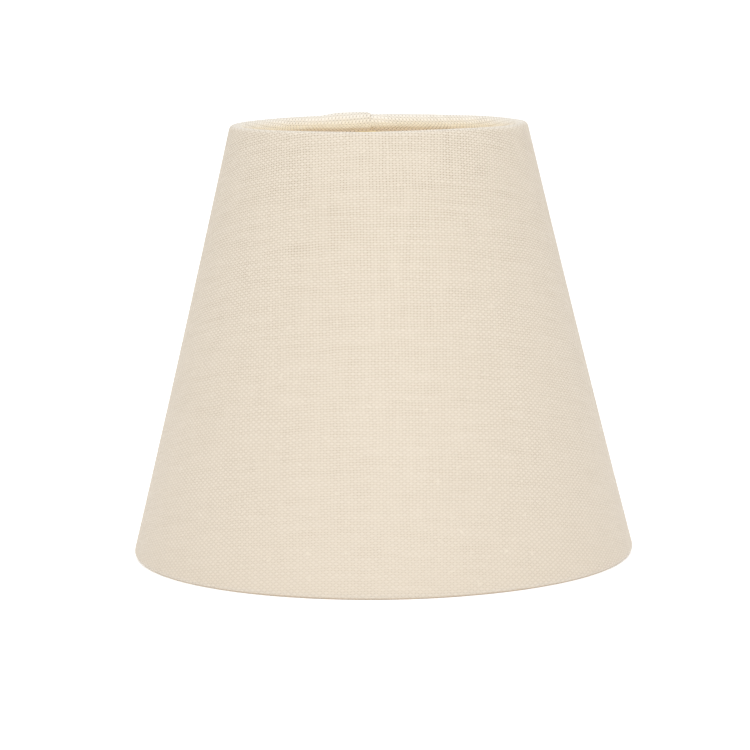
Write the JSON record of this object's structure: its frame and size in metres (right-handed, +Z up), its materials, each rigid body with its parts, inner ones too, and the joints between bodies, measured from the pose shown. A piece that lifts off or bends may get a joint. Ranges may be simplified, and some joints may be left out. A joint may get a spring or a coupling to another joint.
{
  "type": "lamp shade",
  "caption": "Small empire lamp shade: linen laminated on a plastic liner, rolled round two wire rings, with a reversible gimbal fitter and a lift-out reducer ring.",
  "frame": {"origin": "on the shade's axis, in the plane of its bottom edge, which it stands on", "axes": "+Z up the shade's axis to the small end, -Y the front, +Y the glued overlap, X along the gimbal's hinge axis"},
  "size_m": [0.1988, 0.1998, 0.1719],
  "materials": {
    "linen": "undyed plain-weave linen, matt",
    "liner": "warm white translucent sheet, matt",
    "tape": "double-sided adhesive tape",
    "zinc_steel": "bright zinc plating",
    "spring_steel": "plain spring steel",
    "rivet_steel": "nickel plated steel",
    "white_plastic": "moulded, satin"
  },
  "bodies": {
    "shade": {"linen_cover": "linen", "liner_panel": "liner", "lap_tape": "tape", "top_ring": "zinc_steel", "bottom_ring": "zinc_steel", "top_ring_tape": "tape", "bottom_ring_tape": "tape", "hinge_lug_left": "zinc_steel", "hinge_lug_right": "zinc_steel", "friction_washer_left": "spring_steel", "friction_washer_right": "spring_steel", "pivot_rivet_left": "rivet_steel", "pivot_rivet_right": "rivet_steel"},
    "gimbal": {"gimbal_arm_left": "zinc_steel", "gimbal_arm_right": "zinc_steel", "fitter_ring": "zinc_steel"},
    "reducer": {"reducer_ring": "white_plastic"}
  },
  "joints": [
    {"name": "gimbal_tilt", "type": "hinge", "parent": "shade", "child": "gimbal", "pos_m": [0, 0, 0.158], "axis": [1, 0, 0], "continuous": true},
    {"name": "reducer_lift", "type": "slide", "parent": "gimbal", "child": "reducer", "axis": [0, 0, 1], "range_m": [0, 0.06]}
  ]
}
